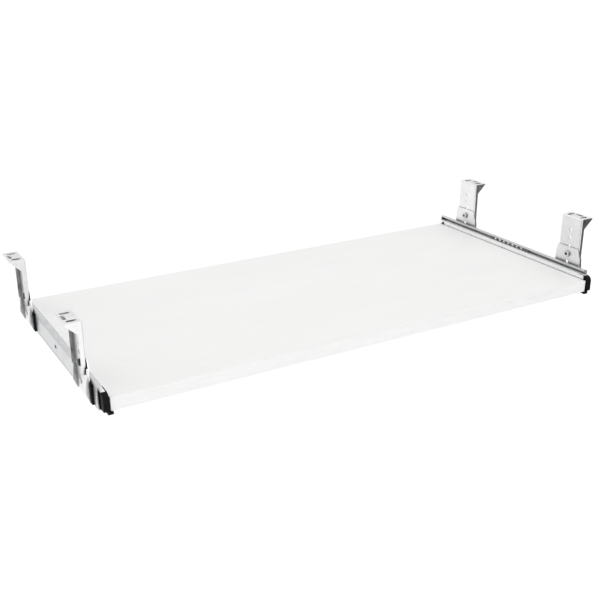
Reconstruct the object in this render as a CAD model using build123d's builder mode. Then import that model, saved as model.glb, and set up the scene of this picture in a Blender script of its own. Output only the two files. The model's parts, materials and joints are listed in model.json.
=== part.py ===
from build123d import *
import math
import os

# Under desk keyboard drawer: a white tray board on two ball bearing slides, hung from
# the underside of a desk by four height adjustable brackets.
# Frame: millimetres, +X to the user's right, -Y towards the user, +Z up.
# Origin: centre of the tray in plan, at the height where the bracket tops meet the desk.

# ---- driving dimensions -------------------------------------------------------------
tray_width = 650.0
tray_depth = 305.0
tray_thickness = 15.0
band_thickness = 1.0
desk_to_tray = 74.0

slide_length = 300.0
slide_height = 27.0
sheet = 1.2
slide_below_tray_top = 2.5
rail_front_gap = 8.5
member_front_gap = 5.0
travel = 200.0
ball_radius = 1.9
ball_pitch = 9.0
balls_per_row = 7

bracket_spacing = 213.0
upper_sheet = 1.5
upper_width = 36.0
lower_width = 44.0
flange_reach = 30.5
hole_pitch = 11.0
hole_count = 4
adjust_hole_radius = 2.2
screw_height = 23.0
screw_radius = 2.0
nut_height = 3.0
nut_radius = 4.0
rivet_radius = 2.0
rivet_offset = 10.0
foot_height_above_tray = 33.0
foot_half_height = 11.65

angle_bend = 1.0
channel_bend = 1.2
cage_bend = 1.0
rail_bend = 1.4
edge_softening = 0.6

# ---- stations measured outwards from the tray's side edge ----------------------------
angle_outer = sheet
channel_reach = 7.4
cage_web_inner = 8.2
cage_web_outer = 8.8
rail_inner = 9.0
rail_outer = rail_inner + sheet
pad_outer = rail_outer + 0.5
lower_outer = pad_outer + sheet
upper_outer = lower_outer + upper_sheet

# ---- heights -------------------------------------------------------------------------
tray_top = -desk_to_tray
tray_bottom = tray_top - tray_thickness
slide_centre = tray_top - slide_below_tray_top
member_top = 8.0
angle_bottom = tray_bottom - sheet

# ---- stations along the depth, counted back from the front edge of the tray -----------
tray_front = -tray_depth / 2
rail_front = tray_front + rail_front_gap
rail_back = rail_front + slide_length
member_front = tray_front + member_front_gap
member_back = member_front + slide_length
stop_block_length = 8.0
stop_pin_radius = 1.5
stop_pin_y = rail_front + 3.5
cage_play = 0.3
cage_open_front = stop_pin_y + stop_pin_radius + cage_play
cage_open_back = member_back - travel - stop_block_length - cage_play
cage_length = cage_open_back - cage_open_front
cage_front = cage_open_front + travel / 2
cage_centre = cage_front + cage_length / 2

LEFT, RIGHT = -1, 1
side_name = {LEFT: "left", RIGHT: "right"}
bracket_y = {"front": -bracket_spacing / 2, "rear": bracket_spacing / 2}

os.makedirs("parts", exist_ok=True)


def save(part, label):
    """Label a finished piece and write it to its own file."""
    part.label = label
    export_step(part, f"parts/{label}.step")


def across(y):
    """Section plane at depth y: +X to the right, +Z up, facing the user."""
    return Plane.XZ.offset(-y)


def outward(side, u, y, z):
    """Plane facing away from the tray, u outside its side edge, centred on (y, z)."""
    return Plane(
        origin=(side * (tray_width / 2 + u), y, z),
        x_dir=(0, side, 0),
        z_dir=(side, 0, 0),
    )


def x_at(side, u):
    """X of a point u outside the tray's side edge."""
    return side * (tray_width / 2 + u)


def section(side, stations):
    """Points of a slide section: (u, height above the slide centre) pairs."""
    return [(x_at(side, u), slide_centre + h) for u, h in stations]


def strip(side, stations, radius, thickness, front, back):
    """A long sheet metal section: a bent centre line given its thickness and length."""
    with BuildPart() as formed:
        with BuildSketch(across(back)):
            with BuildLine() as bent:
                FilletPolyline(*section(side, stations), radius=radius)
            trace(bent.line, line_width=thickness)
        extrude(amount=back - front)
    return formed.part


# ---- tray ----------------------------------------------------------------------------
tray_screw_inset = 12.0
tray_screw_spacing = 112.5
tray_screw_shank = 1.6
tray_screws_per_side = 3
pilot_depth = 10.5


def screw_places():
    """Where the tray screws enter the board, in a row along each side."""
    between_rows = tray_width - 2 * tray_screw_inset
    return GridLocations(between_rows, tray_screw_spacing, 2, tray_screws_per_side)


def make_board():
    with BuildPart() as board:
        with BuildSketch(Plane.XY.offset(tray_bottom)):
            Rectangle(tray_width - 2 * band_thickness, tray_depth - 2 * band_thickness)
        extrude(amount=tray_thickness)
        with BuildSketch(Plane.XY.offset(tray_bottom)):
            with screw_places():
                Circle(tray_screw_shank)
        extrude(amount=pilot_depth, mode=Mode.SUBTRACT)
    save(board.part, "tray_board")


def make_long_band(name, y, facing):
    """Edge band along the front or rear of the board, softened outside and below its ends."""
    with BuildPart() as band:
        with BuildSketch(Plane.XY.offset(tray_bottom)):
            with Locations((0, y)):
                Rectangle(tray_width, band_thickness)
        extrude(amount=tray_thickness)
        fillet(band.edges().filter_by(Axis.Y).group_by(Axis.Z)[0], edge_softening)
        outer = band.faces().filter_by(Axis.Y).sort_by(Axis.Y)[facing]
        chamfer(outer.edges().filter_by(Axis.X), edge_softening / 2)
    save(band.part, name)


def make_side_band(side):
    """Edge band along a side, its lower outer edge softened to clear the angle's bend."""
    with BuildPart() as band:
        with BuildSketch(Plane.XY.offset(tray_bottom)):
            with Locations((x_at(side, -band_thickness / 2), 0)):
                Rectangle(band_thickness, tray_depth - 2 * band_thickness)
        extrude(amount=tray_thickness)
        outer = band.faces().sort_by(Axis.X)[-1 if side == RIGHT else 0]
        fillet(outer.edges().filter_by(Axis.Y), edge_softening)
    save(band.part, f"{side_name[side]}_edge_band")


def make_tray_screws():
    """Pan head screws that hold the board down on the two angles."""
    head_radius = 3.7
    head_height = 2.2
    crown = 1.2
    recess_length, recess_width, recess_depth = 3.6, 0.8, 1.3
    with BuildPart() as screws:
        with BuildSketch(Plane.XY.offset(angle_bottom - head_height)):
            with screw_places():
                Circle(head_radius)
        extrude(amount=head_height)
        fillet(screws.faces().sort_by(Axis.Z)[: 2 * tray_screws_per_side].edges(), crown)
        with BuildSketch(Plane.XY.offset(angle_bottom - head_height)):
            with screw_places():
                Rectangle(recess_length, recess_width)
                Rectangle(recess_width, recess_length)
        extrude(amount=recess_depth, mode=Mode.SUBTRACT)
        with BuildSketch(Plane.XY.offset(angle_bottom)):
            with screw_places():
                Circle(tray_screw_shank)
        extrude(amount=pilot_depth)
    save(screws.part, "tray_screws")


# ---- slides: moving members ----------------------------------------------------------
angle_ledge = 22.0
plug_y = tray_depth / 2 - 7.0
plug_height = 2.4
plug_pin_radius = 1.2
channel_rivet_radius = 2.0
channel_rivet_spacing = 80.0
channel_rivet_count = 4


def make_angle(side):
    """Support angle: an upright against the tray edge and a ledge under the board."""
    leg = sheet / 2
    screw_clearance_radius = 2.2
    ledge_height = angle_bottom + sheet / 2 - slide_centre
    bend = [(leg, member_top), (leg, ledge_height), (-angle_ledge, ledge_height)]
    with BuildPart() as angle:
        add(strip(side, bend, angle_bend, sheet, member_front, member_back))
        with BuildSketch(Plane.XY.offset(angle_bottom)):
            with screw_places():
                Circle(screw_clearance_radius)
        extrude(amount=sheet, mode=Mode.SUBTRACT)
        with BuildSketch(outward(side, 0, 0, 0)):
            with Locations((side * plug_y, tray_top + plug_height)):
                Circle(plug_pin_radius)
            with Locations((side * (member_front + member_back) / 2, slide_centre)):
                with GridLocations(channel_rivet_spacing, 0, channel_rivet_count, 1):
                    Circle(channel_rivet_radius)
        extrude(amount=sheet, mode=Mode.SUBTRACT)
    save(angle.part, f"{side_name[side]}_support_angle")


def make_channel(side):
    """Moving slide member: a channel with its mouth towards the fixed rail."""
    web = angle_outer + sheet / 2
    flange = member_top - sheet / 2
    bend = [(channel_reach, flange), (web, flange), (web, -flange), (channel_reach, -flange)]
    with BuildPart() as channel:
        add(strip(side, bend, channel_bend, sheet, member_front, member_back))
        with BuildSketch(outward(side, angle_outer, 0, slide_centre)):
            with Locations((side * (member_front + member_back) / 2, 0)):
                with GridLocations(channel_rivet_spacing, 0, channel_rivet_count, 1):
                    Circle(channel_rivet_radius)
        extrude(amount=sheet, mode=Mode.SUBTRACT)
    save(channel.part, f"{side_name[side]}_drawer_member")


def make_channel_rivets():
    """Flush rivets that join each drawer member to its support angle."""
    with BuildPart() as rivets:
        for side in (LEFT, RIGHT):
            with BuildSketch(outward(side, 0, (member_front + member_back) / 2, slide_centre)):
                with GridLocations(channel_rivet_spacing, 0, channel_rivet_count, 1):
                    Circle(channel_rivet_radius)
            extrude(amount=2 * sheet)
    save(rivets.part, "drawer_member_rivets")


def make_cap(side):
    """Moulded end cap: plugs over the front of the drawer member and hooks the ledge."""
    inner, outer = 1.5, 7.9
    nose, depth = 2.0, 17.0
    drop, hook_drop = 11.4, 2.8
    hook_inner, skirt_outer = -2.2, 3.6
    clearance = 0.2
    front_round = 6.5
    front = tray_front - nose
    back = front + depth
    base = slide_centre - drop
    hook_low, hook_high = tray_bottom - hook_drop, angle_bottom - clearance / 2
    cover_top, cover_back = tray_bottom - clearance, member_front - clearance
    web = angle_outer + sheet / 2
    flange = member_top - sheet / 2

    body = (inner, outer, base, slide_centre + member_top, front, back)
    skirt = (inner, skirt_outer, hook_low, base, front, back)
    hook = (hook_inner, inner, hook_low, hook_high, front, back)
    ledge_cover = (hook_inner, inner, hook_high, cover_top, front, cover_back)
    with BuildPart() as cap:
        for u0, u1, z0, z1, y0, y1 in (body, skirt, hook, ledge_cover):
            with BuildSketch(across(y1)):
                with Locations((x_at(side, (u0 + u1) / 2), (z0 + z1) / 2)):
                    Rectangle(u1 - u0, z1 - z0)
            extrude(amount=y1 - y0)
        front_top = cap.edges().filter_by(Axis.X).group_by(Axis.Y)[0].sort_by(Axis.Z)[-1]
        fillet(front_top, front_round)
        with BuildSketch(across(back)):
            with BuildLine() as slot:
                FilletPolyline(
                    *section(
                        side,
                        [(outer, flange), (web, flange), (web, -flange), (outer, -flange)],
                    ),
                    radius=channel_bend,
                )
            trace(slot.line, line_width=sheet + clearance)
        extrude(amount=back - member_front, mode=Mode.SUBTRACT)
    save(cap.part, f"{side_name[side]}_end_cap")


def make_stop_block(side):
    """Plastic block in the back of the drawer member: it meets the ball cage at full travel."""
    reach = 8.6
    corner = 0.7
    inner = angle_outer + sheet
    half_height = member_top - sheet
    with BuildPart() as stop_block:
        with BuildSketch(across(member_back)):
            with Locations((x_at(side, (inner + reach) / 2), slide_centre)):
                Rectangle(reach - inner, 2 * half_height)
        extrude(amount=stop_block_length)
        fillet(stop_block.edges().filter_by(Axis.Y), corner)
    save(stop_block.part, f"{side_name[side]}_rear_stop_block")


def make_plug(side):
    """Button plug in the locating hole at the back of the support angle."""
    head_radius = 1.9
    head_height = 0.9
    crown = 0.5
    z = tray_top + plug_height
    with BuildPart() as plug:
        with BuildSketch(outward(side, -head_height, plug_y, z)):
            Circle(head_radius)
        extrude(amount=head_height)
        button = plug.faces().filter_by(Axis.X).sort_by(Axis.X)[0 if side == RIGHT else -1]
        fillet(button.edges(), crown)
        with BuildSketch(outward(side, 0, plug_y, z)):
            Circle(plug_pin_radius)
        extrude(amount=sheet)
    save(plug.part, f"{side_name[side]}_rear_plug")


# ---- slides: ball cages ----------------------------------------------------------------
ball_u = 6.1
ball_height = 10.15
cage_sheet = 0.6


def make_cage(side):
    """Ball cage: a thin channel between the members, drilled for a row of balls each way."""
    web = (cage_web_inner + cage_web_outer) / 2
    arm_end = 4.6
    pocket_clearance = 0.1
    bend = [(arm_end, ball_height), (web, ball_height), (web, -ball_height), (arm_end, -ball_height)]
    with BuildPart() as cage:
        add(strip(side, bend, cage_bend, cage_sheet, cage_front, cage_front + cage_length))
        with BuildSketch(Plane.XY.offset(slide_centre - ball_height - cage_sheet)):
            with Locations((x_at(side, ball_u), cage_centre)):
                with GridLocations(0, ball_pitch, 1, balls_per_row):
                    Circle(ball_radius + pocket_clearance)
        extrude(amount=2 * (ball_height + cage_sheet), mode=Mode.SUBTRACT)
    save(cage.part, f"{side_name[side]}_ball_cage")


def make_balls(side):
    with BuildPart() as balls:
        for height in (-ball_height, ball_height):
            with Locations((x_at(side, ball_u), cage_centre, slide_centre + height)):
                with GridLocations(0, ball_pitch, 1, balls_per_row):
                    Sphere(ball_radius)
    save(balls.part, f"{side_name[side]}_balls")


# ---- slides: fixed rails ----------------------------------------------------------------
rail_lip_inner = 4.4
rail_lip_outer = 5.0
rail_lip_depth = 0.4
raceway_groove_height = 10.5
raceway_groove_width = 0.8
raceway_groove_depth = 0.35
middle_hole_length = 7.0
middle_hole_width = 4.2


def make_rail(side):
    """Fixed rail: a channel with lips that keep the balls in and a groove by each raceway."""
    web = (rail_inner + rail_outer) / 2
    flange = slide_height / 2 - sheet / 2
    bend = [(rail_lip_inner, flange), (web, flange), (web, -flange), (rail_lip_inner, -flange)]
    lip_centre = flange - sheet / 2 - rail_lip_depth / 2
    with BuildPart() as rail:
        add(strip(side, bend, rail_bend, sheet, rail_front, rail_back))
        with BuildSketch(across(rail_back)):
            for h in (-lip_centre, lip_centre):
                with Locations((x_at(side, (rail_lip_inner + rail_lip_outer) / 2), slide_centre + h)):
                    Rectangle(rail_lip_outer - rail_lip_inner, rail_lip_depth)
        extrude(amount=slide_length)
        groove_floor = rail_outer - raceway_groove_depth
        with BuildSketch(outward(side, groove_floor, (rail_front + rail_back) / 2, slide_centre)):
            with GridLocations(0, 2 * raceway_groove_height, 1, 2):
                Rectangle(slide_length, raceway_groove_width)
        extrude(amount=raceway_groove_depth, mode=Mode.SUBTRACT)
        with BuildSketch(outward(side, rail_inner, 0, slide_centre)):
            SlotOverall(middle_hole_length, middle_hole_width)
            with Locations((side * stop_pin_y, 0)):
                Circle(stop_pin_radius)
            for y in bracket_y.values():
                with Locations((side * y, 0)):
                    with GridLocations(2 * rivet_offset, 0, 2, 1):
                        Circle(rivet_radius)
        extrude(amount=sheet, mode=Mode.SUBTRACT)
    save(rail.part, f"{side_name[side]}_fixed_rail")


def make_stop_pins():
    """Pins in the front of the fixed rails: the ball cage runs against them at full travel."""
    tip = 8.3
    with BuildPart() as pins:
        for side in (LEFT, RIGHT):
            with BuildSketch(outward(side, tip, stop_pin_y, slide_centre)):
                Circle(stop_pin_radius)
            extrude(amount=rail_outer - tip)
    save(pins.part, "cage_stop_pins")


def make_bumper(side):
    """Rubber bumper wedged in the back of the fixed rail, where the closed drawer lands."""
    landing_gap = 0.3
    inner = 4.6
    corner = 1.0
    front = member_back + landing_gap
    half_height = slide_height / 2 - sheet - rail_lip_depth
    with BuildPart() as bumper:
        with BuildSketch(across(rail_back)):
            with Locations((x_at(side, (inner + rail_inner) / 2), slide_centre)):
                Rectangle(rail_inner - inner, 2 * half_height)
        extrude(amount=rail_back - front)
        fillet(bumper.edges().filter_by(Axis.Y), corner)
    save(bumper.part, f"{side_name[side]}_rear_bumper")


# ---- brackets -----------------------------------------------------------------------------
slot_width = 4.5
cross_slot_length, cross_slot_u, cross_slot_offset = 11.0, 21.0, 11.0
long_slot_length, long_slot_u = 12.0, 25.5


def make_pad(side, end):
    """Moulded pad between the rail and the bracket foot, with a rib at each end."""
    y = bracket_y[end]
    half_length = 26.0
    rib, rib_height = 3.8, 2.2
    rib_round = 0.6
    with BuildPart() as pad:
        with BuildSketch(outward(side, rail_outer, y, slide_centre)):
            Rectangle(2 * half_length, 2 * foot_half_height)
        extrude(amount=pad_outer - rail_outer)
        with BuildSketch(outward(side, pad_outer, y, slide_centre)):
            with GridLocations(2 * half_length - rib, 0, 2, 1):
                Rectangle(rib, 2 * foot_half_height)
        extrude(amount=rail_outer + rib_height - pad_outer)
        outer = pad.faces().filter_by(Axis.X).sort_by(Axis.X)
        ribs = outer[-2:] if side == RIGHT else outer[:2]
        fillet(ribs.edges(), rib_round)
        with BuildSketch(outward(side, rail_outer, y, slide_centre)):
            with GridLocations(2 * rivet_offset, 0, 2, 1):
                Circle(rivet_radius)
        extrude(amount=pad_outer - rail_outer, mode=Mode.SUBTRACT)
    save(pad.part, f"{end}_{side_name[side]}_bracket_pad")


def make_lower_bracket(side, end):
    """Bracket foot: a shallow U riveted to the rail, its sides widening downwards."""
    top_edge, foot_edge = lower_outer + 0.7, lower_outer + 0.6
    side_reach = 16.5
    shoulder_drop, knee_drop = 1.0, 4.0
    corner_width, corner_height = 4.0, 13.0
    bend = 1.6
    y = bracket_y[end]
    top = tray_top + foot_height_above_tray
    bottom = slide_centre - foot_half_height
    inner = pad_outer
    outline = [
        (inner, top),
        (top_edge, top),
        (side_reach, tray_top - shoulder_drop),
        (side_reach, tray_top - knee_drop),
        (foot_edge, bottom),
        (inner, bottom),
    ]
    with BuildPart() as foot:
        with BuildSketch(across(y + lower_width / 2)):
            with BuildLine():
                Polyline(*[(x_at(side, u), z) for u, z in outline], close=True)
            make_face()
        extrude(amount=lower_width)
        with BuildSketch(outward(side, lower_outer, y, (top + bottom) / 2)):
            Rectangle(lower_width - 2 * sheet, 2 * (top - bottom))
        extrude(amount=flange_reach, mode=Mode.SUBTRACT)
        back_face = foot.faces().filter_by(Axis.X).sort_by(Axis.X)[0 if side == RIGHT else -1]
        fillet(back_face.edges().filter_by(Axis.Z), bend)
        with BuildSketch(outward(side, inner, y, top)):
            for edge in (-lower_width / 2, lower_width / 2):
                with BuildLine():
                    Polyline(
                        (edge, 0),
                        (edge - math.copysign(corner_width, edge), 0),
                        (edge, -corner_height),
                        close=True,
                    )
                make_face()
        extrude(amount=side_reach, mode=Mode.SUBTRACT)
        with BuildSketch(outward(side, inner, y, tray_top)):
            with Locations((0, screw_height)):
                Circle(screw_radius)
            with Locations((0, screw_height - hole_pitch)):
                Circle(adjust_hole_radius)
            with Locations((0, -slide_below_tray_top)):
                with GridLocations(2 * rivet_offset, 0, 2, 1):
                    Circle(rivet_radius)
        extrude(amount=sheet, mode=Mode.SUBTRACT)
    save(foot.part, f"{end}_{side_name[side]}_lower_bracket")


def make_upper_bracket(side, end):
    """Hanger: a U with a top flange, gusseted at both sides and slotted for desk screws."""
    bottom_above_tray, gusset_above_tray = 16.5, 60.0
    side_reach = 17.4
    hollow_overrun = 10.0
    bend = 1.8
    y = bracket_y[end]
    bottom = tray_top + bottom_above_tray
    inner = lower_outer
    outline = [
        (inner, 0),
        (flange_reach, 0),
        (flange_reach, -upper_sheet),
        (side_reach, tray_top + gusset_above_tray),
        (side_reach, bottom),
        (inner, bottom),
    ]
    with BuildPart() as hanger:
        with BuildSketch(across(y + upper_width / 2)):
            with BuildLine():
                Polyline(*[(x_at(side, u), z) for u, z in outline], close=True)
            make_face()
        extrude(amount=upper_width)
        hollow_height = -upper_sheet - bottom + hollow_overrun
        with BuildSketch(outward(side, upper_outer, y, -upper_sheet - hollow_height / 2)):
            Rectangle(upper_width - 2 * upper_sheet, hollow_height)
        extrude(amount=flange_reach, mode=Mode.SUBTRACT)
        back_face = hanger.faces().filter_by(Axis.X).sort_by(Axis.X)[0 if side == RIGHT else -1]
        upright_bends = back_face.edges().filter_by(Axis.Z)
        top_bend = back_face.edges().filter_by(Axis.Y).sort_by(Axis.Z)[-1:]
        fillet(upright_bends + top_bend, bend)
        with BuildSketch(outward(side, inner, y, tray_top + screw_height)):
            for step in range(hole_count):
                with Locations((0, step * hole_pitch)):
                    Circle(adjust_hole_radius)
        extrude(amount=upper_sheet, mode=Mode.SUBTRACT)
        with BuildSketch(Plane.XY.offset(-upper_sheet)):
            with Locations((x_at(side, cross_slot_u), y)):
                with GridLocations(0, 2 * cross_slot_offset, 1, 2):
                    SlotOverall(cross_slot_length, slot_width)
            with Locations((x_at(side, long_slot_u), y)):
                SlotOverall(long_slot_length, slot_width, rotation=90)
        extrude(amount=upper_sheet, mode=Mode.SUBTRACT)
    save(hanger.part, f"{end}_{side_name[side]}_upper_bracket")


def make_bracket_rivets():
    """Domed rivets through bracket foot, pad and rail, flush inside the rail."""
    head_radius = 3.2
    head_height = 1.1
    crown = 0.8
    with BuildPart() as rivets:
        for side in (LEFT, RIGHT):
            for y in bracket_y.values():
                with BuildSketch(outward(side, rail_inner, y, slide_centre)):
                    with GridLocations(2 * rivet_offset, 0, 2, 1):
                        Circle(rivet_radius)
                extrude(amount=lower_outer - rail_inner)
                with BuildSketch(outward(side, lower_outer, y, slide_centre)):
                    with GridLocations(2 * rivet_offset, 0, 2, 1):
                        Circle(head_radius)
                extrude(amount=head_height)
        domes = rivets.faces().filter_by(Axis.X).group_by(Axis.X)
        fillet((domes[0] + domes[-1]).edges(), crown)
    save(rivets.part, "bracket_rivets")


def make_height_screws():
    """Pan head screws that fix the hanger to the foot at the chosen height."""
    head_radius = 3.8
    head_height = 2.2
    crown = 1.0
    recess_length, recess_width, recess_floor = 4.4, 1.0, 0.8
    recess_centre_radius = 0.9
    tip_inset = 1.0
    tip = pad_outer - nut_height + tip_inset
    with BuildPart() as screws:
        for side in (LEFT, RIGHT):
            for y in bracket_y.values():
                with BuildSketch(outward(side, tip, y, tray_top + screw_height)):
                    Circle(screw_radius)
                extrude(amount=upper_outer - tip)
                with BuildSketch(outward(side, upper_outer, y, tray_top + screw_height)):
                    Circle(head_radius)
                extrude(amount=head_height)
        heads = screws.faces().filter_by(Axis.X).group_by(Axis.X)
        fillet((heads[0] + heads[-1]).edges(), crown)
        for side in (LEFT, RIGHT):
            for y in bracket_y.values():
                recess = outward(side, upper_outer + recess_floor, y, tray_top + screw_height)
                with BuildSketch(recess):
                    Rectangle(recess_length, recess_width)
                    Rectangle(recess_width, recess_length)
                    Circle(recess_centre_radius)
                extrude(amount=head_height, mode=Mode.SUBTRACT)
    save(screws.part, "height_screws")


def make_press_nuts():
    """Round press nuts set in the inner face of each bracket foot."""
    with BuildPart() as nuts:
        for side in (LEFT, RIGHT):
            for y in bracket_y.values():
                with BuildSketch(outward(side, pad_outer - nut_height, y, tray_top + screw_height)):
                    Circle(nut_radius)
                    Circle(screw_radius, mode=Mode.SUBTRACT)
                extrude(amount=nut_height)
    save(nuts.part, "press_nuts")


make_board()
make_long_band("front_edge_band", tray_front + band_thickness / 2, 0)
make_long_band("rear_edge_band", -tray_front - band_thickness / 2, -1)
make_tray_screws()
make_channel_rivets()
make_stop_pins()
make_bracket_rivets()
make_height_screws()
make_press_nuts()
for side in (LEFT, RIGHT):
    make_side_band(side)
    make_angle(side)
    make_channel(side)
    make_cap(side)
    make_stop_block(side)
    make_plug(side)
    make_cage(side)
    make_balls(side)
    make_rail(side)
    make_bumper(side)
    for end in bracket_y:
        make_pad(side, end)
        make_lower_bracket(side, end)
        make_upper_bracket(side, end)
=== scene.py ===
import json
import math

import bmesh
import bpy
from mathutils import Matrix, Vector


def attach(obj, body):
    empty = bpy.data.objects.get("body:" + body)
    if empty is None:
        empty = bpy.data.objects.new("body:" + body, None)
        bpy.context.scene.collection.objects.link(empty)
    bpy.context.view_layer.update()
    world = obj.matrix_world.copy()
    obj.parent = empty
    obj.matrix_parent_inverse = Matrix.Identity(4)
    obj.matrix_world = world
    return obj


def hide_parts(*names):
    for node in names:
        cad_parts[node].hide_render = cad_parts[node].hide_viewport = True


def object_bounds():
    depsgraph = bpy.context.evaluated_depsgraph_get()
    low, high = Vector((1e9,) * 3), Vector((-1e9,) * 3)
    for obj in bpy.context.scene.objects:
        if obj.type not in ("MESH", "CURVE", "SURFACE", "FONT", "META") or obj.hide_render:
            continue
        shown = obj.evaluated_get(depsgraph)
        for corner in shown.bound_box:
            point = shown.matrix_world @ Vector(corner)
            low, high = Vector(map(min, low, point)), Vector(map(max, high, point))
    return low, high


# Under desk drawer: a white tray board on two ball bearing slides, hung by four brackets.
# Metres, in the CAD frame: +X to the user's right, -Y towards the user, +Z up.

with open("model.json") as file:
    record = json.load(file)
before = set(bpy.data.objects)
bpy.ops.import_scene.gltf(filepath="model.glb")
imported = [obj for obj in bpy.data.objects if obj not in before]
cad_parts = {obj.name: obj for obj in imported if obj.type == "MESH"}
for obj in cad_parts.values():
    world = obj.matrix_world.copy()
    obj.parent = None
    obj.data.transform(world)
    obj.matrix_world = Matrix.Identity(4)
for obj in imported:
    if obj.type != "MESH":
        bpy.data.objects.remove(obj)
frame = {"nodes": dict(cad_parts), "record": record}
cad_low, cad_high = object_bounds()
nodes = frame["nodes"]
centre = (cad_low + cad_high) / 2

SIDES = ("left", "right")
ENDS = ("front", "rear")
MICRON = 1e-6

# ---- camera: angles in degrees, lens in millimetres ------------------------------------------
CAMERA_PLACE = (-0.5624, -0.9345, 0.3429)
CAMERA_YAW = 30.10
CAMERA_PITCH = 21.55
CAMERA_ROLL = -0.15
CAMERA_LENS = 54.6
CLIP_NEAR, CLIP_FAR = 0.02, 200.0

# ---- floor, sky, light and cards ---------------------------------------------------------------
FLOOR_DROP = 0.42
FLOOR_HALF = 40.0
SKY_STRENGTH = 0.95
SKY_HEIGHTS = (0.0, 0.30, 0.62, 1.0)
SKY_LEVELS = (0.80, 0.86, 1.18, 1.32)
WHITE = (1.0, 1.0, 1.0, 1.0)
FRONT_LIGHT_PLACE = (0.2, -2.6, 0.7)
FRONT_LIGHT_SIZE = (2.4, 1.0)
FRONT_LIGHT_WATTS = 11.0
CARD_HALF = 0.50
CARD_PLACES = {"left_card": (-0.86, -0.80, -0.24), "right_card": (0.98, -0.66, -0.22)}

# ---- shades: darkest first; a plated sheet's first shade is the painted shade of its inside corners ---
WHITE_BOARD = ((0.770, 0.767, 0.762), (0.815, 0.813, 0.810))
WHITE_BAND = ((0.760, 0.759, 0.756), (0.800, 0.799, 0.796))
BRIGHT_ZINC = ((0.20, 0.20, 0.20), (0.75, 0.755, 0.76), (0.91, 0.91, 0.905))
RAIL_ZINC = ((0.40, 0.40, 0.405), (0.52, 0.53, 0.54), (0.76, 0.765, 0.77))
FOLDED_ZINC = ((0.06, 0.06, 0.06), (0.90, 0.902, 0.905), (0.97, 0.97, 0.97))
MEMBER_ZINC = ((0.70, 0.70, 0.70), (0.90, 0.902, 0.905), (0.97, 0.97, 0.97))
STRIP_ZINC = ((0.20, 0.20, 0.19), (0.52, 0.52, 0.50), (0.70, 0.70, 0.68))
FASTENER_ZINC = ((0.18, 0.18, 0.18), (0.60, 0.605, 0.60), (0.78, 0.78, 0.77))
BLACK_OXIDE = ((0.010, 0.010, 0.012), (0.030, 0.030, 0.034), (0.085, 0.085, 0.090))
BEARING_STEEL = ((0.78, 0.78, 0.79), (0.88, 0.88, 0.89))
BLACK_PLASTIC = ((0.0025, 0.0025, 0.003), (0.007, 0.007, 0.0075))
BLACK_RUBBER = ((0.016, 0.016, 0.016), (0.034, 0.033, 0.032))
PALE_FLOOR = ((0.95, 0.95, 0.95), (0.97, 0.97, 0.97))
CARD_BLACK = ((0.010, 0.010, 0.010), (0.020, 0.020, 0.020))

# ---- plating and painted shade: how far the painted shade of inside corners reaches, and how the pattern is split into shades ---
BRACKET_SHADE_REACH = 0.022
SLIDE_SHADE_REACH = 0.005
# The support angle's first shade is near black: a painted shade line where the angle meets the board.
ANGLE_SHADE_REACH = 0.004
SHADE_SAMPLES = 6
SHADE_RANGE = (0.42, 0.80)
PLATING_STOPS = (0.05, 0.3, 0.7)
CRYSTAL_SHARE = 0.12
MARK_SHARE = 0.28
BARE_METAL = 1.0
MILKY_PLATING = 0.60
PLASTIC_SHEEN = 0.10

# ---- rounded edges of the softened pieces ----------------------------------------------------------
WELD_DISTANCE = 1e-6
FLAT_ANGLE = 0.5
SHARP_ANGLE = 40.0
FLAT_WEIGHT = 100
EDGE_SEGMENTS = 2
SHEET_EDGE = 0.00022
SECTION_EDGE = 0.00016
MOULDED_EDGE = 0.00025


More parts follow.
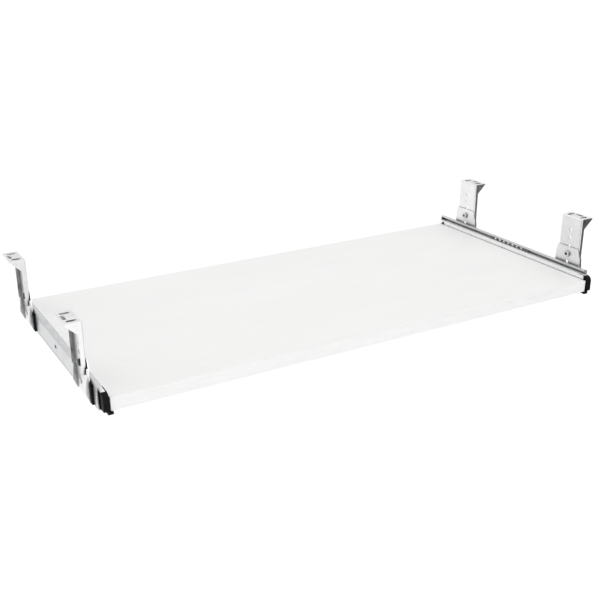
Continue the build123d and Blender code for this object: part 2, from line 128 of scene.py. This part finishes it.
# ---- finishes ----------------------------------------------------------------------------------------
class Finish:
    """A principled material whose colour, roughness and bump come from noise in object space."""

    def __init__(self, name, metallic=0.0):
        self.material = bpy.data.materials.new(name)
        self.material.use_nodes = True
        self.tree = self.material.node_tree
        self.shader = self.tree.nodes["Principled BSDF"]
        self.shader.inputs["Metallic"].default_value = metallic
        self.place = self.tree.nodes.new("ShaderNodeTexCoord").outputs["Object"]

    def stretched(self, stretch):
        """Object space scaled to a number of features to the metre along each axis."""
        mapping = self.tree.nodes.new("ShaderNodeMapping")
        mapping.inputs["Scale"].default_value = stretch
        self.tree.links.new(self.place, mapping.inputs["Vector"])
        return mapping.outputs["Vector"]

    def noise(self, stretch, detail=4.0, roughness=0.55, distortion=0.0):
        noise = self.tree.nodes.new("ShaderNodeTexNoise")
        noise.inputs["Scale"].default_value = 1.0
        noise.inputs["Detail"].default_value = detail
        noise.inputs["Roughness"].default_value = roughness
        noise.inputs["Distortion"].default_value = distortion
        self.tree.links.new(self.stretched(stretch), noise.inputs["Vector"])
        return noise.outputs["Fac"]

    def cells(self, stretch):
        """Crystal pattern: the random value of each Voronoi cell."""
        voronoi = self.tree.nodes.new("ShaderNodeTexVoronoi")
        voronoi.inputs["Scale"].default_value = 1.0
        self.tree.links.new(self.stretched(stretch), voronoi.inputs["Vector"])
        split = self.tree.nodes.new("ShaderNodeSeparateColor")
        self.tree.links.new(voronoi.outputs["Color"], split.inputs["Color"])
        return split.outputs["Red"]

    def blend(self, first, second, share):
        """The first pattern with a share of the second mixed in."""
        mix = self.tree.nodes.new("ShaderNodeMix")
        mix.inputs["Factor"].default_value = share
        self.tree.links.new(first, mix.inputs["A"])
        self.tree.links.new(second, mix.inputs["B"])
        return mix.outputs["Result"]

    def times(self, first, second):
        """One pattern held down where the other is low."""
        product = self.tree.nodes.new("ShaderNodeMath")
        product.operation = "MULTIPLY"
        self.tree.links.new(first, product.inputs[0])
        self.tree.links.new(second, product.inputs[1])
        return product.outputs["Value"]

    def spread(self, pattern, low, high, start=0.3, end=0.7):
        """A pattern stretched to run between two values."""
        span = self.tree.nodes.new("ShaderNodeMapRange")
        span.inputs["From Min"].default_value = start
        span.inputs["From Max"].default_value = end
        span.inputs["To Min"].default_value = low
        span.inputs["To Max"].default_value = high
        self.tree.links.new(pattern, span.inputs["Value"])
        return span.outputs["Result"]

    def corner_shade_mask(self, reach):
        """Mask of the painted corner shade: 1 where the surface is open, falling to 0 in inside corners
        within reach.
        """
        occlusion = self.tree.nodes.new("ShaderNodeAmbientOcclusion")
        occlusion.samples = SHADE_SAMPLES
        occlusion.inputs["Distance"].default_value = reach
        return self.spread(occlusion.outputs["AO"], 0.0, 1.0, *SHADE_RANGE)

    def colour(self, pattern, shades, stops=(0.3, 0.7)):
        """Base colour: the pattern picks a shade, stop by stop."""
        ramp = self.tree.nodes.new("ShaderNodeValToRGB")
        for stop in stops[1:-1]:
            ramp.color_ramp.elements.new(stop)
        for element, stop, shade in zip(ramp.color_ramp.elements, stops, shades):
            element.position = stop
            element.color = (*shade, 1.0)
        self.tree.links.new(pattern, ramp.inputs["Fac"])
        self.tree.links.new(ramp.outputs["Color"], self.shader.inputs["Base Color"])

    def rough(self, pattern, smoothest, roughest):
        """Roughness that follows the pattern."""
        result = self.spread(pattern, smoothest, roughest)
        self.tree.links.new(result, self.shader.inputs["Roughness"])

    def bump(self, *layers):
        """Relief from (pattern, height in microns) layers, one on another."""
        below = None
        for pattern, height in layers:
            relief = self.tree.nodes.new("ShaderNodeBump")
            relief.inputs["Distance"].default_value = height * MICRON
            self.tree.links.new(pattern, relief.inputs["Height"])
            if below is not None:
                self.tree.links.new(below, relief.inputs["Normal"])
            below = relief.outputs["Normal"]
        self.tree.links.new(below, self.shader.inputs["Normal"])


def melamine():
    """White board face: faint streaks along the board's width, with fine pores."""
    finish = Finish("white_melamine")
    streaks = finish.noise((9, 240, 240), detail=6, roughness=0.62, distortion=0.4)
    clouds = finish.noise((7, 11, 11), detail=3)
    pores = finish.noise((160, 2600, 2600), detail=2)
    skin = finish.noise((1900, 1900, 1900), detail=2)
    finish.colour(finish.blend(streaks, clouds, share=0.35), WHITE_BOARD)
    finish.rough(finish.blend(streaks, pores, share=0.4), smoothest=0.38, roughest=0.54)
    finish.bump((streaks, 60), (pores, 40), (skin, 20))
    return finish.material


def edge_banding():
    """White band, a little glossier than the board, with a slight wave."""
    finish = Finish("white_edge_banding")
    wave = finish.noise((40, 40, 220), detail=3)
    skin = finish.noise((1500, 1500, 1500), detail=2)
    finish.colour(wave, WHITE_BAND)
    finish.rough(finish.blend(wave, skin, share=0.5), smoothest=0.28, roughest=0.42)
    finish.bump((wave, 40), (skin, 20))
    return finish.material


def plated(name, shades, grain, crystals, rough, painted_shade_reach, metallic=BARE_METAL):
    """Plated steel: cloudy plating, small crystals, marks along the grain, and painted shade in the
    inside corners.
    """
    finish = Finish(name, metallic=metallic)
    clouds = finish.noise((65, 65, 65), detail=5, roughness=0.6)
    crystal = finish.cells(crystals)
    marks = finish.noise(grain, detail=4, roughness=0.7)
    skin = finish.noise((2400, 2400, 2400), detail=2)
    tone = finish.blend(finish.blend(clouds, crystal, CRYSTAL_SHARE), marks, MARK_SHARE)
    # In inside corners the tone is held down towards the first shade, which is painted shade.
    finish.colour(finish.times(tone, finish.corner_shade_mask(painted_shade_reach)), shades, PLATING_STOPS)
    finish.rough(finish.blend(marks, clouds, share=0.45), *rough)
    finish.bump((marks, 30), (clouds, 40), (skin, 10))
    return finish.material


def polished():
    """Bearing balls: mirror steel under a thin film of grease."""
    finish = Finish("polished_bearing_steel", metallic=BARE_METAL)
    film = finish.noise((600, 600, 600), detail=3)
    finish.colour(film, BEARING_STEEL)
    finish.rough(film, smoothest=0.06, roughest=0.16)
    finish.bump((film, 10))
    return finish.material


def moulded():
    """Black moulded plastic: fine spark texture over slow flow marks."""
    finish = Finish("black_moulded_plastic")
    finish.shader.inputs["Specular IOR Level"].default_value = PLASTIC_SHEEN
    texture = finish.noise((3200, 3200, 3200), detail=3)
    flow = finish.noise((120, 60, 120), detail=3)
    finish.colour(flow, BLACK_PLASTIC)
    finish.rough(finish.blend(flow, texture, share=0.5), smoothest=0.38, roughest=0.60)
    finish.bump((texture, 50), (flow, 60))
    return finish.material


def rubber():
    """Black rubber with a dusty bloom."""
    finish = Finish("black_rubber")
    dust = finish.noise((220, 220, 220), detail=5)
    skin = finish.noise((2600, 2600, 2600), detail=2)
    finish.colour(dust, BLACK_RUBBER)
    finish.rough(dust, smoothest=0.68, roughest=0.88)
    finish.bump((skin, 50), (dust, 80))
    return finish.material


def plain_floor():
    """Pale floor that can be seen through from below, so that the underside shows."""
    finish = Finish("pale_floor")
    clouds = finish.noise((0.8, 0.8, 0.8), detail=3)
    grit = finish.noise((400, 400, 400), detail=2)
    finish.colour(clouds, PALE_FLOOR)
    finish.rough(clouds, smoothest=0.85, roughest=0.95)
    finish.bump((grit, 50))
    facing = finish.tree.nodes.new("ShaderNodeNewGeometry")
    clear = finish.tree.nodes.new("ShaderNodeBsdfTransparent")
    choice = finish.tree.nodes.new("ShaderNodeMixShader")
    output = finish.tree.nodes["Material Output"]
    finish.tree.links.new(facing.outputs["Backfacing"], choice.inputs["Fac"])
    finish.tree.links.new(finish.shader.outputs["BSDF"], choice.inputs[1])
    finish.tree.links.new(clear.outputs["BSDF"], choice.inputs[2])
    finish.tree.links.new(choice.outputs["Shader"], output.inputs["Surface"])
    return finish.material


def card_cloth():
    """Dull black cloth of the studio cards."""
    finish = Finish("black_card")
    nap = finish.noise((300, 300, 300), detail=3)
    finish.colour(nap, CARD_BLACK)
    finish.rough(nap, smoothest=0.90, roughest=0.98)
    return finish.material


# Finishes by the record's material slots.
FINISHES = {
    "board": melamine(),
    "edge_band": edge_banding(),
    "bracket_steel": plated(
        "bright_zinc_sheet",
        BRIGHT_ZINC,
        grain=(700, 700, 30),
        crystals=(900, 900, 900),
        rough=(0.24, 0.36),
        painted_shade_reach=BRACKET_SHADE_REACH,
    ),
    "rail_steel": plated(
        "drawn_zinc_section",
        RAIL_ZINC,
        grain=(1600, 14, 1600),
        crystals=(1200, 500, 1200),
        rough=(0.26, 0.42),
        painted_shade_reach=SLIDE_SHADE_REACH,
    ),
    "cage_steel": plated(
        "plated_strip",
        STRIP_ZINC,
        grain=(1500, 30, 1500),
        crystals=(1500, 900, 1500),
        rough=(0.28, 0.40),
        painted_shade_reach=SLIDE_SHADE_REACH,
    ),
    "fastener_steel": plated(
        "plated_fasteners",
        FASTENER_ZINC,
        grain=(900, 900, 900),
        crystals=(1400, 1400, 1400),
        rough=(0.24, 0.42),
        painted_shade_reach=SLIDE_SHADE_REACH,
    ),
    "screw_steel": plated(
        "black_oxide_screws",
        BLACK_OXIDE,
        grain=(900, 900, 900),
        crystals=(1400, 1400, 1400),
        rough=(0.32, 0.48),
        painted_shade_reach=SLIDE_SHADE_REACH,
    ),
    "ball_steel": polished(),
    "black_plastic": moulded(),
    "bumper_rubber": rubber(),
}

# The angles and inner members share the rails' slot but are plated whiter.
WHITER_STEEL = {"grain": (1200, 20, 1200), "crystals": (900, 900, 900), "rough": (0.34, 0.48)}
WHITER_FINISHES = {
    "support_angle": plated(
        "folded_zinc_angle", FOLDED_ZINC, painted_shade_reach=ANGLE_SHADE_REACH, metallic=MILKY_PLATING, **WHITER_STEEL
    ),
    "drawer_member": plated(
        "drawn_zinc_member", MEMBER_ZINC, painted_shade_reach=SLIDE_SHADE_REACH, metallic=MILKY_PLATING, **WHITER_STEEL
    ),
}


def slot_of(name):
    """The record's material slot of a CAD node."""
    for part in frame["record"]["subparts"]:
        if part["node"] == name:
            return part["material_slot"]
    raise ValueError(name)


def finish_of(name):
    """The material of a CAD node: whiter plating for the pieces that have it, or its slot's finish."""
    piece = name.partition("_")[2]
    return WHITER_FINISHES.get(piece, FINISHES[slot_of(name)])


for name, node in nodes.items():
    for material_slot in node.material_slots:
        material_slot.material = finish_of(name)


# ---- pieces with rounded edges ---------------------------------------------------------------------
def soften(name, body, radius):
    """A piece with the node's shape whose cut edges are rounded, as stamping and plating leave them."""
    mesh = nodes[name].data.copy()
    if "custom_normal" in mesh.attributes:
        mesh.attributes.remove(mesh.attributes["custom_normal"])
    work = bmesh.new()
    work.from_mesh(mesh)
    bmesh.ops.remove_doubles(work, verts=work.verts, dist=WELD_DISTANCE)
    bmesh.ops.dissolve_limit(
        work, angle_limit=math.radians(FLAT_ANGLE), verts=work.verts, edges=work.edges
    )
    work.to_mesh(mesh)
    work.free()
    mesh.shade_smooth()
    piece = bpy.data.objects.new(name + "_softened", mesh)
    bpy.context.scene.collection.objects.link(piece)
    edges = piece.modifiers.new("edges", "BEVEL")
    edges.width = radius
    edges.segments = EDGE_SEGMENTS
    edges.limit_method = "ANGLE"
    edges.angle_limit = math.radians(SHARP_ANGLE)
    flats = piece.modifiers.new("flats", "WEIGHTED_NORMAL")
    flats.mode = "FACE_AREA"
    flats.weight = FLAT_WEIGHT
    flats.keep_sharp = True
    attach(piece, body)
    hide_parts(name)


for side in SIDES:
    for end in ENDS:
        soften(f"{end}_{side}_upper_bracket", "desk_side", SHEET_EDGE)
        soften(f"{end}_{side}_lower_bracket", "desk_side", SHEET_EDGE)
        soften(f"{end}_{side}_bracket_pad", "desk_side", MOULDED_EDGE)
    soften(f"{side}_end_cap", "drawer", MOULDED_EDGE)
    soften(f"{side}_fixed_rail", "desk_side", SECTION_EDGE)
    soften(f"{side}_drawer_member", "drawer", SECTION_EDGE)
    soften(f"{side}_support_angle", "drawer", SECTION_EDGE)


# ---- studio ------------------------------------------------------------------------------------------
def stage_square(name, half, level, material):
    """A flat square for the stage, lying at a level."""
    corners = ((-half, -half), (half, -half), (half, half), (-half, half))
    mesh = bpy.data.meshes.new(name)
    mesh.from_pydata([(x, y, level) for x, y in corners], [], [(0, 1, 2, 3)])
    mesh.materials.append(material)
    square = bpy.data.objects.new(name, mesh)
    bpy.context.scene.collection.objects.link(square)
    return square


def black_card(name, place, material):
    """A black card that only reflections see: it gives the plated steel its dark tones."""
    card = stage_square(name, CARD_HALF, 0.0, material)
    card.location = place
    card.rotation_mode = "QUATERNION"
    card.rotation_quaternion = (centre - Vector(place)).to_track_quat("Z", "Y")
    card.visible_camera = False
    card.visible_diffuse = False
    card.visible_shadow = False


def softbox(name, place, aim, size, watts):
    """A rectangular studio light turned to face a point."""
    data = bpy.data.lights.new(name, "AREA")
    data.shape = "RECTANGLE"
    data.size, data.size_y = size
    data.energy = watts
    light = bpy.data.objects.new(name, data)
    light.location = place
    light.rotation_mode = "QUATERNION"
    light.rotation_quaternion = (Vector(aim) - Vector(place)).to_track_quat("-Z", "Y")
    bpy.context.scene.collection.objects.link(light)


def studio_world():
    """Soft light that brightens with height, behind it a plain white backdrop for the camera."""
    world = bpy.data.worlds.new("studio")
    world.use_nodes = True
    tree = world.node_tree
    sky = tree.nodes["Background"]
    sky.inputs["Strength"].default_value = SKY_STRENGTH
    direction = tree.nodes.new("ShaderNodeTexCoord")
    height = tree.nodes.new("ShaderNodeSeparateXYZ")
    shade = tree.nodes.new("ShaderNodeValToRGB")
    for position in SKY_HEIGHTS[1:-1]:
        shade.color_ramp.elements.new(position)
    for element, position, level in zip(shade.color_ramp.elements, SKY_HEIGHTS, SKY_LEVELS):
        element.position = position
        element.color = (level, level, level, 1.0)
    tree.links.new(direction.outputs["Generated"], height.inputs["Vector"])
    tree.links.new(height.outputs["Z"], shade.inputs["Fac"])
    tree.links.new(shade.outputs["Color"], sky.inputs["Color"])
    backdrop = tree.nodes.new("ShaderNodeBackground")
    backdrop.inputs["Color"].default_value = WHITE
    ray = tree.nodes.new("ShaderNodeLightPath")
    choice = tree.nodes.new("ShaderNodeMixShader")
    output = tree.nodes["World Output"]
    tree.links.new(ray.outputs["Is Camera Ray"], choice.inputs["Fac"])
    tree.links.new(sky.outputs["Background"], choice.inputs[1])
    tree.links.new(backdrop.outputs["Background"], choice.inputs[2])
    tree.links.new(choice.outputs["Shader"], output.inputs["Surface"])
    return world


stage_square("floor", FLOOR_HALF, cad_low.z - FLOOR_DROP, plain_floor())
cloth = card_cloth()
for name, place in CARD_PLACES.items():
    black_card(name, place, cloth)
softbox("front_light", FRONT_LIGHT_PLACE, centre, FRONT_LIGHT_SIZE, FRONT_LIGHT_WATTS)
bpy.context.scene.world = studio_world()
bpy.context.scene.view_settings.view_transform = "Standard"

camera_data = bpy.data.cameras.new("camera")
camera_data.lens = CAMERA_LENS
camera_data.clip_start, camera_data.clip_end = CLIP_NEAR, CLIP_FAR
camera = bpy.data.objects.new("camera", camera_data)
camera.matrix_world = (
    Matrix.Translation(CAMERA_PLACE)
    @ Matrix.Rotation(math.radians(-CAMERA_YAW), 4, "Z")
    @ Matrix.Rotation(math.radians(90.0 - CAMERA_PITCH), 4, "X")
    @ Matrix.Rotation(math.radians(CAMERA_ROLL), 4, "Z")
)
bpy.context.scene.collection.objects.link(camera)
bpy.context.scene.camera = camera
